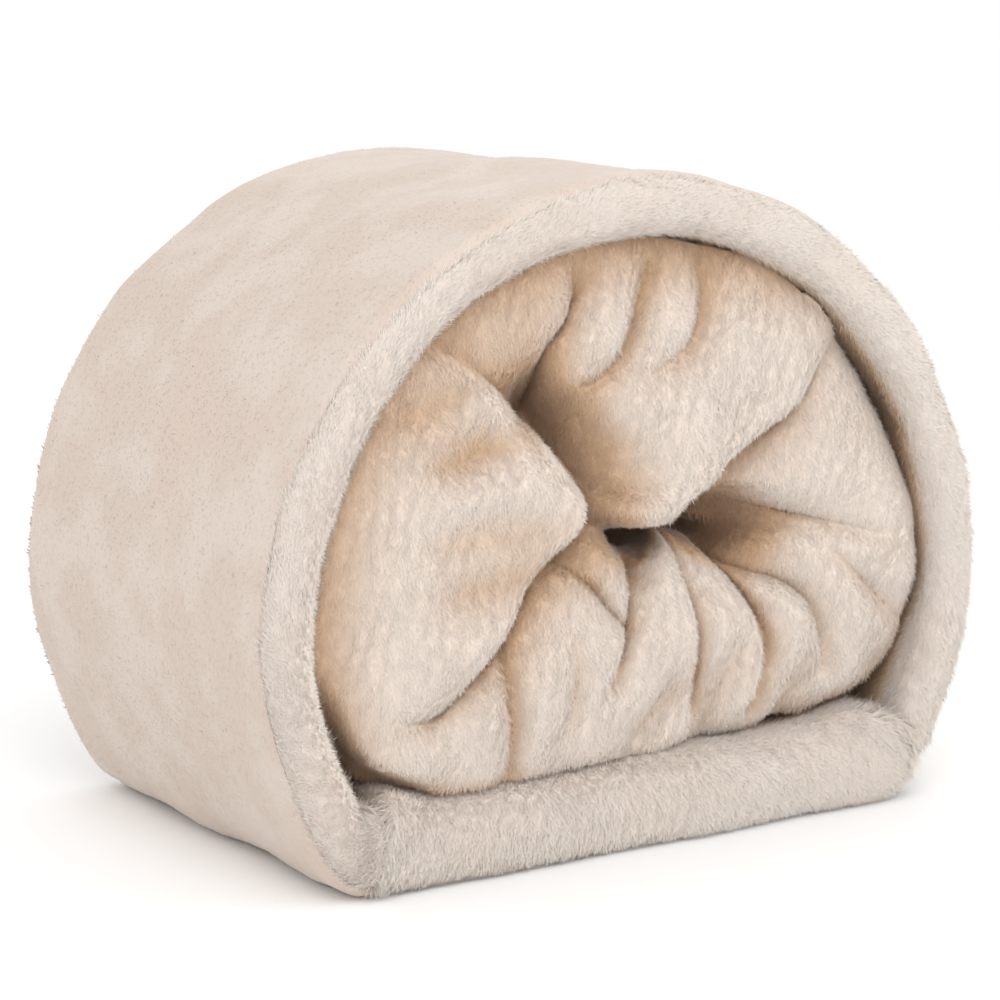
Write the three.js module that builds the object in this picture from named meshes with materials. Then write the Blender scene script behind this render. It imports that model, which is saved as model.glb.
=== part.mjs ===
// Padded half-round tunnel for a small animal, in plush, with a plush sleeve bunched up inside it.
// Millimetres, +Z up. The origin is at the middle of the footprint, on the surface the tunnel stands on.
// +X runs across the arch and the front mouth faces -Y.

import * as THREE from 'three';

// Overall size
const WIDTH = 320;
const HEIGHT = 250;
const DEPTH = 200;
const HALF_DEPTH = DEPTH / 2;

// Arch wall: a half circle whose sides draw in towards the floor
const ARCH_RADIUS = WIDTH / 2;
const SPRING_Z = HEIGHT - ARCH_RADIUS;
const DRAW_IN = 31.5;
const DRAW_POWER = 1.7;
const WALL = 23;
const LINING = 15;
const RIM_ROLL = 9;
const SEAM_ANGLE = 50;
const COVER_START_ANGLE = 53;

// Floor pad
const FLOOR_TOP = 32;
const FLOOR_TOP_ROLL = 18;
const FLOOR_TOP_DROP = 4;
const FLOOR_BOTTOM_ROLL = 10;
const FLOOR_TURN = 24;
const FLOOR_TURN_INSIDE = 14;
const CORNER_PINCH = 0.03;

// Room between pieces
const GAP = 0.35;
const SEAT_GAP = 0.7;
const RIM_CLEARANCE = 2;

// Corner seams between the arch and the floor pad, as [x, z] at the inside and at the outside, and the
// knees that the arch's foot and the pad's turned end bend round
const FOOT_Z = 22;
const LEFT_SEAM = { inner: [-112, 33], outer: [-116, 0], knee: [-130, 0] };
const RIGHT_SEAM = { inner: [112, 33], outer: [131.5, 15], knee: [138, 15.5], padKnee: [129.5, 0] };

// Steps along the pieces
const ARCH_STEPS = 26;
const SIDE_STEPS = 4;
const FOOT_STEPS = 4;
const ROLL_STEPS = 3;
const FLOOR_STEPS = 8;

// Sleeve: a doubled sheet that bulges at both ends and leaves a passage along its middle
const SLEEVE_SHEET = 4;
const SLEEVE_CORNER = 7;
const SLEEVE_EDGE_Y = 6;
const SLEEVE_SEAT_Y = 40;
const FRONT_CENTRE = [24, 109];
const FRONT_MOUTH = { halfWidth: 33, halfHeight: 6, y: 54 };
const MIDDLE_CENTRE = [4, 112];
const MIDDLE_RADIUS = 48;
const BACK_CENTRE = [0, 110];
const BACK_MOUTH = { radius: 30, y: 56 };
const BACK_BULGE = { contact: 82, crest: 94, crestAt: 0.58 };
const BACK_PLEATS = { count: 12, depth: 7 };
const BACK_PASSAGE = { share: 0.55, pleats: 0.6 };
const FOLD_BLEND = 2.5;
const FOLD_SPREAD = 0.6;
const FOLDS_FULL_Y = 70;

// Rows of the sleeve's mesh: degrees round its bulges, from the rim to the crest (outside) and from the
// mouth's side to the crest (inside), and shares of the passage from the front mouth to the middle
const FRONT_OUTSIDE = [0, 14, 28, 42, 56, 72];
const FRONT_INSIDE = [0, 9, 18, 27, 36, 45, 55, 67, 85];
const PASSAGE_SHARES = [0.2, 0.5, 1];
const BACK_INSIDE = [90, 58, 32, 10];
const BACK_OUTSIDE = [62, 30];

// Directions in which the sleeve is laid out round its passage, closer where a fold runs along them
const RAYS = [
  { from: -60, to: 60, count: 24 },
  { from: 60, to: 175, count: 24 },
  { from: 175, to: 220, count: 26 },
  { from: 220, to: 300, count: 24 },
];

// Front bulge of the sleeve by direction from the mouth: degrees from +X towards +Z, the depth at
// which it leaves the lining, the depth of its crest, and how far in the crest lies (0 rim, 1 mouth)
const BULGES = [
  { angle: 0, contact: 88, crest: 93, crestAt: 0.25 },
  { angle: 30, contact: 82, crest: 89, crestAt: 0.3 },
  { angle: 60, contact: 78, crest: 92, crestAt: 0.66 },
  { angle: 90, contact: 80, crest: 95, crestAt: 0.82 },
  { angle: 120, contact: 82, crest: 94, crestAt: 0.78 },
  { angle: 150, contact: 84, crest: 96, crestAt: 0.68 },
  { angle: 180, contact: 88, crest: 98.5, crestAt: 0.64 },
  { angle: 215, contact: 82, crest: 98.5, crestAt: 0.48 },
  { angle: 240, contact: 79, crest: 97, crestAt: 0.5 },
  { angle: 270, contact: 79, crest: 95, crestAt: 0.58 },
  { angle: 300, contact: 72, crest: 93, crestAt: 0.6 },
  { angle: 315, contact: 62, crest: 89, crestAt: 0.52 },
  { angle: 328, contact: 74, crest: 91, crestAt: 0.4 },
  { angle: 342, contact: 88, crest: 95, crestAt: 0.28 },
];

// Folds of the front bulge: depth at the start, middle and end of the crease, its reach on the left
// of its run, where the cloth lies on top, its reach on the right, and its run as [x, z]
const FOLDS = [
  { name: 'left lobe edge', depth: [15, 21, 13], over: 24, under: 38,
    run: [[-50, 173], [-38, 163], [-27, 149], [-16, 136], [-15, 127], [-24, 115], [-38, 107],
      [-46, 98], [-54, 85], [-67, 73], [-82, 60]] },
  { name: 'left lobe foot', depth: [13, 11, 4], over: 17, under: 24,
    run: [[-82, 60], [-91, 57], [-102, 61], [-113, 69]] },
  { name: 'upper left lobe edge', depth: [9, 16, 16], over: 18, under: 30,
    run: [[-20, 215], [-20, 204], [-26, 197], [-36, 191], [-42, 184], [-47, 176], [-50, 173]] },
  { name: 'upper left fold', depth: [5, 9, 14], over: 20, under: 26,
    run: [[-88, 196], [-75, 190], [-66, 183], [-50, 173]] },
  { name: 'pit between the lobes', depth: [16, 18, 12], over: 18, under: 20,
    run: [[-46, 174], [-36, 165], [-27, 152], [-14, 136]] },
  { name: 'top lobe edge', depth: [4, 18, 20], over: 26, under: 24,
    run: [[93, 188], [83, 177], [76, 162], [68, 151], [57, 144], [46, 134], [38, 125], [34, 117]] },
  { name: 'top fold left', depth: [7, 10, 7], over: 16, under: 20,
    run: [[12, 218], [7, 205], [2, 193], [-6, 183], [-22, 176]] },
  { name: 'top fold right', depth: [5, 9, 3], over: 15, under: 22,
    run: [[35, 218], [35, 203], [30, 191], [20, 184], [8, 179]] },
  { name: 'right upper crease', depth: [17, 9, 4], over: 16, under: 26,
    run: [[36, 122], [52, 120], [74, 117], [98, 111], [126, 105]] },
  { name: 'right lower crease', depth: [12, 9, 6], over: 13, under: 17,
    run: [[40, 112], [48, 105], [60, 98], [76, 91], [86, 81], [92, 66], [94, 54]] },
  { name: 'pleat 1', depth: [8, 8, 6], over: 15, under: 13,
    run: [[-48, 98], [-54, 82], [-55, 60], [-58, 36]] },
  { name: 'pleat 2', depth: [4, 6, 4], over: 14, under: 14,
    run: [[-28, 82], [-30, 67], [-33, 50]] },
  { name: 'pleat 3', depth: [12, 9, 4], over: 14, under: 13,
    run: [[6, 100], [2, 88], [-5, 76], [-12, 64]] },
  { name: 'pleat 4', depth: [13, 10, 6], over: 13, under: 14,
    run: [[26, 108], [31, 95], [32, 72], [30, 46]] },
  { name: 'pleat 5', depth: [11, 11, 6], over: 13, under: 15,
    run: [[42, 108], [51, 101], [60, 85], [67, 68], [66, 56], [61, 42]] },
  { name: 'top of pleat 1', depth: [6, 10, 7], over: 13, under: 16,
    run: [[-2, 82], [-14, 95], [-28, 104], [-40, 108]] },
];

// Fuller places of the front bulge, as soft mounds
const MOUNDS = [
  { name: 'second pleat', x: -8, z: 104, reachX: 11, reachZ: 12, height: 7 },
  { name: 'third pleat', x: 17, z: 103, reachX: 12, reachZ: 12, height: 8 },
  { name: 'top lobe', x: 14, z: 134, reachX: 34, reachZ: 16, height: 3 },
];

const PLUSH = new THREE.Color(0.84, 0.77, 0.71);
const RIM_PLUSH = new THREE.Color(0.83, 0.78, 0.72);

const mix = (a, b, t) => a + (b - a) * t;
const mixPoint = (a, b, t) => [mix(a[0], b[0], t), mix(a[1], b[1], t)];
const ease = (t) => t * t * (3 - 2 * t);
const radians = THREE.MathUtils.degToRad;
const clamp01 = (t) => Math.min(Math.max(t, 0), 1);

// Half of the arch's outer width at a height, and how fast it grows with the height
function outerHalfWidth(z) {
  if (z >= SPRING_Z) {
    return Math.sqrt(Math.max(ARCH_RADIUS ** 2 - (z - SPRING_Z) ** 2, 0));
  }
  return ARCH_RADIUS - DRAW_IN * ((SPRING_Z - z) / SPRING_Z) ** DRAW_POWER;
}
function sideSlope(z) {
  return (DRAW_IN * DRAW_POWER * ((SPRING_Z - z) / SPRING_Z) ** (DRAW_POWER - 1)) / SPRING_Z;
}

// Half of the width inside the arch at a height, at a distance from its inner faces
function innerHalfWidth(z, clearance) {
  if (z >= SPRING_Z) {
    return Math.sqrt(Math.max((ARCH_RADIUS - WALL - clearance) ** 2 - (z - SPRING_Z) ** 2, 0));
  }
  return outerHalfWidth(z) - (WALL + clearance) * Math.hypot(1, sideSlope(z));
}

// A closed solid from its points and faces, turned so that its faces point outwards
function solid(points, faces) {
  const corner = (i) => new THREE.Vector3(...points[i]);
  const volume = faces.reduce((sum, [a, b, c]) => sum + corner(a).cross(corner(b)).dot(corner(c)), 0);
  const outward = volume > 0 ? faces : faces.map(([a, b, c]) => [a, c, b]);
  const geometry = new THREE.BufferGeometry();
  geometry.setAttribute('position', new THREE.Float32BufferAttribute(points.flat(), 3));
  geometry.setIndex(outward.flat());
  geometry.computeVertexNormals();
  return geometry;
}

// The two triangles of each square between neighbouring rings of equally many points, split along
// the shorter diagonal
function ringFaces(points, size, closed) {
  const faces = [];
  const rings = points.length / size;
  const apart = (a, b) => Math.hypot(...points[a].map((value, axis) => value - points[b][axis]));
  for (let i = 0; i < (closed ? rings : rings - 1); i += 1) {
    for (let j = 0; j < size; j += 1) {
      const k = (j + 1) % size;
      const next = ((i + 1) % rings) * size;
      const [a, b, c, d] = [i * size + j, next + j, next + k, i * size + k];
      faces.push(...(apart(a, c) <= apart(b, d) ? [[a, b, c], [a, c, d]] : [[a, b, d], [b, c, d]]));
    }
  }
  return faces;
}

// Triangles over a section's outline, wound the way the outline runs
function capFaces(outline) {
  const corners = outline.map(([y, t]) => new THREE.Vector2(y, t));
  const faces = THREE.ShapeUtils.triangulateShape(corners, []);
  const area = THREE.ShapeUtils.area(faces[0].map((i) => corners[i]));
  const agrees = Math.sign(area) === Math.sign(THREE.ShapeUtils.area(corners));
  return agrees ? faces : faces.map(([a, b, c]) => [a, c, b]);
}

// A bar whose closed section runs through a row of stations, each a line from inside to outside
function bar(stations, section) {
  const points = stations.flatMap(({ inner, outer, pinch }) => section.map(([y, share]) => {
    const [x, z] = mixPoint(inner, outer, share);
    return [x, y * (1 - CORNER_PINCH * pinch), z];
  }));
  const end = (stations.length - 1) * section.length;
  const cap = capFaces(section);
  return solid(points, [
    ...ringFaces(points, section.length, false),
    ...cap,
    ...cap.map(([a, b, c]) => [end + a, end + c, end + b]),
  ]);
}

// Points of a quarter roll about a centre, in [y, height] of a section
function roll(centreY, centreT, radius, from, to) {
  const points = [];
  for (let i = 0; i <= ROLL_STEPS; i += 1) {
    const angle = radians(mix(from, to, i / ROLL_STEPS));
    points.push([centreY - radius * Math.cos(angle), centreT + radius * Math.sin(angle)]);
  }
  return points;
}

const mirrored = (half) => [...half, ...half.map(([y, t]) => [-y, t]).reverse()];
const asShare = (section, height) => section.map(([y, t]) => [y, t / height]);

// The padded wall in section: the lining rolls round both rims and meets the cover on the shoulder
const shoulderY = -HALF_DEPTH + RIM_ROLL;
const shoulderT = WALL - RIM_ROLL;
const liningSection = asShare(mirrored([
  ...roll(shoulderY, RIM_ROLL, RIM_ROLL, -90, 0),
  ...roll(shoulderY, shoulderT, RIM_ROLL, 0, SEAM_ANGLE),
  [shoulderY + 1, LINING],
]), WALL);
const coverSection = asShare(mirrored([
  [shoulderY + 1 + GAP, LINING + GAP],
  ...roll(shoulderY, shoulderT, RIM_ROLL, COVER_START_ANGLE, 90),
]), WALL);

// One station of the wall's side at a height, on the left (-1) or the right (1)
function sideStation(z, side) {
  const outer = outerHalfWidth(z);
  const slope = sideSlope(z);
  const length = Math.hypot(1, slope);
  const inner = [side * (outer - WALL / length), z + (WALL * slope) / length];
  return { outer: [side * outer, z], inner, pinch: 0 };
}

// The stations that lead from a corner seam up to the wall's side
function footStations(seam, side) {
  const top = sideStation(FOOT_Z, side);
  const outerPath = new THREE.Path();
  outerPath.moveTo(...seam.outer);
  outerPath.quadraticCurveTo(...seam.knee, ...top.outer);
  const innerPath = new THREE.Path();
  innerPath.moveTo(...seam.inner);
  innerPath.quadraticCurveTo(mix(seam.inner[0], top.inner[0], 0.9), seam.inner[1], ...top.inner);
  const outer = outerPath.getSpacedPoints(FOOT_STEPS);
  const inner = innerPath.getSpacedPoints(FOOT_STEPS);
  return outer.slice(0, FOOT_STEPS).map((point, i) => ({
    outer: point.toArray(), inner: inner[i].toArray(), pinch: 1 - i / FOOT_STEPS,
  }));
}

// The whole wall from the left corner seam over the arch to the right one
function wallStations() {
  const stations = footStations(LEFT_SEAM, -1);
  const sides = [];
  for (let i = 0; i < SIDE_STEPS; i += 1) {
    sides.push(mix(FOOT_Z, SPRING_Z, i / SIDE_STEPS));
  }
  sides.forEach((z) => stations.push(sideStation(z, -1)));
  for (let i = 0; i <= ARCH_STEPS; i += 1) {
    const angle = Math.PI * (1 - i / ARCH_STEPS);
    const place = (radius) => [radius * Math.cos(angle), SPRING_Z + radius * Math.sin(angle)];
    stations.push({ outer: place(ARCH_RADIUS), inner: place(ARCH_RADIUS - WALL), pinch: 0 });
  }
  sides.reverse().forEach((z) => stations.push(sideStation(z, 1)));
  stations.push(...footStations(RIGHT_SEAM, 1).reverse());
  return stations;
}

// The floor pad from the left corner seam to the right one, its right end turned up at the outside
function floorStations() {
  const turnX = RIGHT_SEAM.outer[0] - FLOOR_TURN;
  const insideX = RIGHT_SEAM.inner[0] - FLOOR_TURN_INSIDE;
  const stations = [];
  for (let i = 0; i <= FLOOR_STEPS; i += 1) {
    const t = i / FLOOR_STEPS;
    stations.push({
      outer: [mix(LEFT_SEAM.outer[0] + GAP, turnX, t), 0],
      inner: [mix(LEFT_SEAM.inner[0] + GAP, insideX, t), FLOOR_TOP],
      pinch: i === 0 ? 1 : 0,
    });
  }
  const turn = new THREE.Path();
  turn.moveTo(turnX, 0);
  turn.quadraticCurveTo(...RIGHT_SEAM.padKnee, RIGHT_SEAM.outer[0] - GAP, RIGHT_SEAM.outer[1] - GAP);
  turn.getSpacedPoints(FOOT_STEPS).slice(1).forEach((point, i) => stations.push({
    outer: point.toArray(),
    inner: [mix(insideX, RIGHT_SEAM.inner[0] - GAP, (i + 1) / FOOT_STEPS), FLOOR_TOP],
    pinch: (i + 1) / FOOT_STEPS,
  }));
  return stations;
}

const floorSection = mirrored([
  ...roll(-HALF_DEPTH + FLOOR_TOP_ROLL, FLOOR_TOP_ROLL - FLOOR_TOP_DROP, FLOOR_TOP_ROLL, 90, 0),
  ...roll(-HALF_DEPTH + FLOOR_BOTTOM_ROLL, FLOOR_BOTTOM_ROLL, FLOOR_BOTTOM_ROLL, 0, -90),
]).map(([y, z]) => [y, 1 - z / FLOOR_TOP]);

// Distance from a centre to the sleeve's outer side in a direction, just inside lining and floor
function sleeveReach(centre, angle, clearance) {
  const [c, s] = [Math.cos(angle), Math.sin(angle)];
  let [near, far] = [0, WIDTH];
  for (let i = 0; i < 40; i += 1) {
    const middle = (near + far) / 2;
    const [x, z] = [centre[0] + middle * c, centre[1] + middle * s];
    const inside = z < HEIGHT - WALL - clearance && Math.abs(x) < innerHalfWidth(z, clearance);
    [near, far] = inside ? [middle, far] : [near, middle];
  }
  const floor = s < -0.001 ? (centre[1] - FLOOR_TOP - clearance) / -s : WIDTH * 9;
  const least = Math.min(near, floor);
  const soft = Math.exp((least - near) / SLEEVE_CORNER) + Math.exp((least - floor) / SLEEVE_CORNER);
  return least - SLEEVE_CORNER * Math.log(soft);
}

// The front bulge's measures in a direction, eased between the rows of its table
function bulgeAt(angle) {
  const degrees = (THREE.MathUtils.radToDeg(angle) + 360) % 360;
  const rows = [...BULGES, { ...BULGES[0], angle: BULGES[0].angle + 360 }];
  const i = rows.findIndex((row, k) => k + 1 < rows.length && degrees < rows[k + 1].angle);
  const t = ease((degrees - rows[i].angle) / (rows[i + 1].angle - rows[i].angle));
  const value = (key) => mix(rows[i][key], rows[i + 1][key], t);
  return { contact: value('contact'), crest: value('crest'), crestAt: value('crestAt') };
}

const rayAngles = RAYS.flatMap(({ from, to, count }) => Array.from({ length: count },
  (_, i) => radians(mix(from, to, i / count))));

// A run with its corners cut twice
function softRun(run) {
  let points = run;
  for (let pass = 0; pass < 2; pass += 1) {
    const cut = points.slice(1).flatMap((b, i) => [0.25, 0.75].map((t) => mixPoint(points[i], b, t)));
    points = [points[0], ...cut, points[points.length - 1]];
  }
  return points;
}
const softFolds = FOLDS.map((fold) => {
  const run = softRun(fold.run);
  const steps = run.slice(1).map((b, i) => Math.hypot(b[0] - run[i][0], b[1] - run[i][1]));
  return { ...fold, run, steps, length: steps.reduce((sum, step) => sum + step, 0) };
});

// Nearest place of a fold's run to a point: its distance, how far to the left of the run the point
// lies (1 left, -1 right, between them past an end), and how far on the place is
function nearestOnRun({ run, steps, length }, x, z) {
  let best = { distance: Infinity, left: 0, share: 0 };
  let passed = 0;
  steps.forEach((step, i) => {
    const [ax, az] = run[i];
    const [dx, dz] = [run[i + 1][0] - ax, run[i + 1][1] - az];
    const t = clamp01(((x - ax) * dx + (z - az) * dz) / (step * step));
    const distance = Math.hypot(x - ax - t * dx, z - az - t * dz);
    if (distance < best.distance) {
      const aside = (dx * (z - az) - dz * (x - ax)) / step;
      best = { distance, left: aside / Math.max(distance, 0.001), share: (passed + t * step) / length };
    }
    passed += step;
  });
  return best;
}

// How far the front bulge is pushed in at [x, z]: the folds together, less the mounds
function foldDepth(x, z) {
  let sum = 0;
  softFolds.forEach((fold) => {
    const { distance, left, share } = nearestOnRun(fold, x, z);
    const [start, middle, end] = fold.depth;
    const deep = start * (1 - share) * (1 - 2 * share) + 4 * middle * share * (1 - share)
      + end * share * (2 * share - 1);
    const away = clamp01(distance / mix(fold.under, fold.over, clamp01(0.5 + 0.5 * left)));
    sum += (Math.max(deep, 0) * ease(1 - away)) ** FOLD_BLEND;
  });
  const raised = MOUNDS.reduce((total, m) => total
    + m.height * Math.exp(-(((x - m.x) / m.reachX) ** 2) - ((z - m.z) / m.reachZ) ** 2), 0);
  return sum ** (1 / FOLD_BLEND) - raised;
}

// Rows of the sleeve, each a function of direction that gives centre, radius, depth, the way out of
// the cloth across (out) and along (along) the tunnel, and how far folds push the cloth in there.
// Folds push mostly along the tunnel.
function sleeveRows() {
  const rows = [];
  const unseated = (depth) => clamp01((depth - SLEEVE_SEAT_Y) / (FOLDS_FULL_Y - SLEEVE_SEAT_Y));
  const clearance = (depth) => mix(SEAT_GAP, RIM_CLEARANCE, unseated(depth));
  const mouthRadius = (angle) => {
    const { halfWidth: a, halfHeight: b } = FRONT_MOUTH;
    return (a * b) / Math.hypot(b * Math.cos(angle), a * Math.sin(angle));
  };
  const frontFold = (depth) => (x, z) => foldDepth(x, z) * unseated(depth);
  const backFold = (weight) => (x, z, angle) => BACK_PLEATS.depth * weight
    * (0.5 + 0.5 * Math.cos(BACK_PLEATS.count * angle + Math.sin(3 * angle))) ** 2;

  // outer layer along the lining, from the middle to the front bulge
  [SLEEVE_EDGE_Y, SLEEVE_SEAT_Y].forEach((depth) => rows.push((angle) => {
    return { centre: FRONT_CENTRE, radius: sleeveReach(FRONT_CENTRE, angle, clearance(depth)),
      y: -depth, out: 1, along: 0, fold: frontFold(depth) };
  }));
  // front bulge, rim to crest and crest to mouth
  const frontBulge = (turn, inward) => rows.push((angle) => {
    const { contact, crest, crestAt } = bulgeAt(angle);
    const reach = sleeveReach(FRONT_CENTRE, angle, clearance(contact));
    const share = inward ? crestAt + (1 - crestAt) * Math.sin(turn) : crestAt * (1 - Math.cos(turn));
    const base = inward ? FRONT_MOUTH.y : contact;
    const depth = base + (crest - base) * (inward ? Math.cos(turn) : Math.sin(turn));
    return { centre: FRONT_CENTRE, radius: mix(reach, mouthRadius(angle), share), y: -depth,
      out: inward ? -Math.sin(turn) : Math.cos(turn),
      along: inward ? -Math.cos(turn) : -Math.sin(turn), fold: frontFold(depth) };
  });
  FRONT_OUTSIDE.forEach((degrees) => frontBulge(radians(degrees), false));
  FRONT_INSIDE.forEach((degrees) => frontBulge(radians(degrees), true));
  // passage, front mouth to middle and on to the back mouth
  PASSAGE_SHARES.forEach((t) => rows.push((angle) => ({
    centre: mixPoint(FRONT_CENTRE, MIDDLE_CENTRE, ease(t)),
    radius: mix(mouthRadius(angle), MIDDLE_RADIUS, ease(t)),
    y: mix(-FRONT_MOUTH.y, 0, t), out: -1, along: 0, fold: frontFold(mix(FRONT_MOUTH.y, 0, t)),
  })));
  rows.push(() => {
    const t = ease(BACK_PASSAGE.share);
    return { centre: mixPoint(MIDDLE_CENTRE, BACK_CENTRE, t),
      radius: mix(MIDDLE_RADIUS, BACK_MOUTH.radius, t),
      y: BACK_MOUTH.y * BACK_PASSAGE.share, out: -1, along: 0,
      fold: backFold(BACK_PASSAGE.share * BACK_PASSAGE.pleats) };
  });
  // back bulge, mouth to crest and crest to rim, then the outer layer back to the middle
  const backBulge = (turn, inward) => rows.push((angle) => {
    const { contact, crest, crestAt } = BACK_BULGE;
    const reach = sleeveReach(BACK_CENTRE, angle, clearance(contact));
    const share = inward ? crestAt + (1 - crestAt) * Math.sin(turn) : crestAt * (1 - Math.cos(turn));
    const base = inward ? BACK_MOUTH.y : contact;
    const depth = base + (crest - base) * (inward ? Math.cos(turn) : Math.sin(turn));
    return { centre: BACK_CENTRE, radius: mix(reach, BACK_MOUTH.radius, share), y: depth,
      out: inward ? -Math.sin(turn) : Math.cos(turn),
      along: inward ? Math.cos(turn) : Math.sin(turn),
      fold: backFold(inward ? 1 : Math.sin(turn)) };
  });
  BACK_INSIDE.forEach((degrees) => backBulge(radians(degrees), true));
  BACK_OUTSIDE.forEach((degrees) => backBulge(radians(degrees), false));
  [BACK_BULGE.contact, SLEEVE_SEAT_Y, SLEEVE_EDGE_Y].forEach((depth) => rows.push((angle) => {
    return { centre: BACK_CENTRE, radius: sleeveReach(BACK_CENTRE, angle, clearance(depth)),
      y: depth, out: 1, along: 0, fold: () => 0 };
  }));
  return rows;
}

// The sleeve's sheet: the rows give its face, and the same rows pushed in by its thickness its back
function sleeveGeometry() {
  const rings = (depthBelow) => sleeveRows().map((row) => {
    return rayAngles.map((angle) => {
      const { centre, radius, y, out, along, fold } = row(angle);
      const [c, s] = [Math.cos(angle), Math.sin(angle)];
      const [x, z] = [centre[0] + radius * c, centre[1] + radius * s];
      const push = fold(x, z, angle);
      const across = (push * FOLD_SPREAD + depthBelow) * out;
      const inward = (push * Math.sign(y)) / Math.hypot(1, out * FOLD_SPREAD) + depthBelow * along;
      return [x - across * c, y - inward, z - across * s];
    });
  });
  const points = [...rings(0), ...rings(SLEEVE_SHEET).reverse()].flat();
  return solid(points, ringFaces(points, rayAngles.length, true));
}

const plush = (color) => new THREE.MeshStandardMaterial({ color, roughness: 0.95, metalness: 0 });

function named(name, geometry, color) {
  const mesh = new THREE.Mesh(geometry, plush(color));
  mesh.name = name;
  return mesh;
}

const tunnel = new THREE.Group();
const wall = wallStations();
tunnel.add(named('arch_cover', bar(wall, coverSection), PLUSH));
tunnel.add(named('arch_lining', bar(wall, liningSection), RIM_PLUSH));
tunnel.add(named('floor_pad', bar(floorStations(), floorSection), RIM_PLUSH));
tunnel.add(named('sleeve', sleeveGeometry(), PLUSH));

export default tunnel;
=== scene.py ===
"""Plush tunnel for a small animal: a padded arch on a floor pad, with a plush sleeve bunched up inside.

Sizes are in millimetres and become metres where a mesh is made. +Z is up, and the front mouth faces -Y.
"""
import math

import bmesh
import bpy
import numpy as np
from mathutils import Matrix, Vector


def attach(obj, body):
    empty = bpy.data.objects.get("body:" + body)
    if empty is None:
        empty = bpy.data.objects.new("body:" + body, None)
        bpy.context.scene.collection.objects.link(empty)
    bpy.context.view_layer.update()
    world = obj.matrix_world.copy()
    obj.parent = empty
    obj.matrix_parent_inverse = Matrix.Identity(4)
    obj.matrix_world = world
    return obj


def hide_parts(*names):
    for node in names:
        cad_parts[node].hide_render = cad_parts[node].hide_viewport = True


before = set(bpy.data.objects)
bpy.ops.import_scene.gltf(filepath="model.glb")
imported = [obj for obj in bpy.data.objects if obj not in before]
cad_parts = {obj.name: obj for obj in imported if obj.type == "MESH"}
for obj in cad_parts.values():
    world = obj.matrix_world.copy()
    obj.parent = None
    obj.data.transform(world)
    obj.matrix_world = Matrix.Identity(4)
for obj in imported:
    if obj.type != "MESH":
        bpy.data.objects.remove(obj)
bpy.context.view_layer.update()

MM = 0.001
# How near points are that are welded, in metres, and the least length that anything is divided by
WELD, TINY = 1e-7, 0.001
RANDOM = np.random.default_rng(41)

# The photograph's camera
CAMERA_PLACE = Vector((-0.6412, -0.9896, 0.3253))
CAMERA_TURN, CAMERA_RISE, CAMERA_ROLL = (math.radians(a) for a in (-32.91, 10.0, -0.28))
CAMERA_LENS, CAMERA_SENSOR = 110.08, 36

# Overall size, and the arch wall: a half circle whose sides draw in towards the floor
WIDTH, HEIGHT, DEPTH = 320, 250, 200
ARCH_RADIUS = WIDTH / 2
SPRING_Z = HEIGHT - ARCH_RADIUS
DRAW_IN, DRAW_POWER = 31.5, 1.7
WALL = 22
LINING = 15
RIM_ROLL = 9

# The step between the points of a padded piece, the share of its thickness that counts as its inside, and
# the share that its seams flatten it towards
WALL_STEP, INSIDE_SHARE, FLATTENED_SHARE = 4, 0.45, 0.65

# Corner seams between the arch and the floor pad, as (x, z) at the inside and at the outside
FOOT_Z = 22
LEFT_SEAM = {"inner": (-112, 33), "outer": (-116, 0), "knee": (-130, 0)}
RIGHT_SEAM = {"inner": (110, 37), "outer": (131.5, 15), "knee": (138, 15.5)}
# The stations between a corner seam and the wall's side, and how far towards the side their bend lies
FOOT_STEPS, FOOT_KNEE = 14, 0.9
# The gap between two pieces, and how far the lining lies beneath the cover's edge
SEAM_GAP, HAIR_GAP = 0.35, 0.06
# How far the corner seams draw in the ends of a piece, how much they flatten it, how far along the piece
# that reaches, and how fast it fades
PINCH_DEEP, PINCH_FLAT, PINCH_REACH, PINCH_FADE = 0.8, 0.12, 5, 1.6

# Floor pad
FLOOR_TOP = 32
FLOOR_TOP_ROLL = 18
FLOOR_BOTTOM_ROLL = 10
# Near the corners the top's roll is smaller and the top rises: how much, and how far from the corner
CORNER_TOP_ROLL, CORNER_REACH = 11, 26
CORNER_RISE, CORNER_RISE_REACH = 5, 28
# How far from the right corner the pad's outside and inside start to turn up, and how the turn is cut
FLOOR_TURN, FLOOR_INNER_TURN = 24, 14
TURN_KNEE, TURN_STEPS = 2, 12

# Seam of the cover on the front shoulder, along the wall from the left corner (0) to the right (1):
# degrees round the shoulder's roll, from the rim's face (0) to the outside (90)
COVER_SEAM = (
    (0, 42), (0.05, 46), (0.1, 60), (0.24, 66), (0.28, 55), (0.34, 36), (0.4, 29), (0.45, 36), (0.52, 50),
    (0.7, 45), (1, 38),
)
# The seam's groove: how deep it is and, in degrees from the seam, where the cover's edge starts and ends,
# where the cover is full again, where the lining starts to dip, and how far it runs on under the cover
GROOVE_DEEP = 0.3
COVER_EDGE, COVER_EDGE_END, COVER_FULL, LINING_DIPS, LINING_UNDER = 1, 2, 8, -6, 5

# How far from the middle of the depth the painted shade of the insides starts, and how far on it is full:
# their colour is darkened behind the rims, where shade falls. Along the wall from the left corner (0) to the
# right (1): where the painted shade starts, and how much there is of it
FLOOR_SHADE_START, SHADE_REACH = 80, 14
WALL_SHADE_START = ((0, 91), (0.5, 91), (0.62, 97), (0.86, 97), (0.93, 90), (1, 88))
WALL_SHADE_ALONG = ((0, 1), (0.9, 1), (0.955, 0.75), (1, 0.75))

# Sleeve: a gathered sheet that bulges at both ends and leaves a passage along its middle
SLEEVE_CLOTH = 1.2
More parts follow.
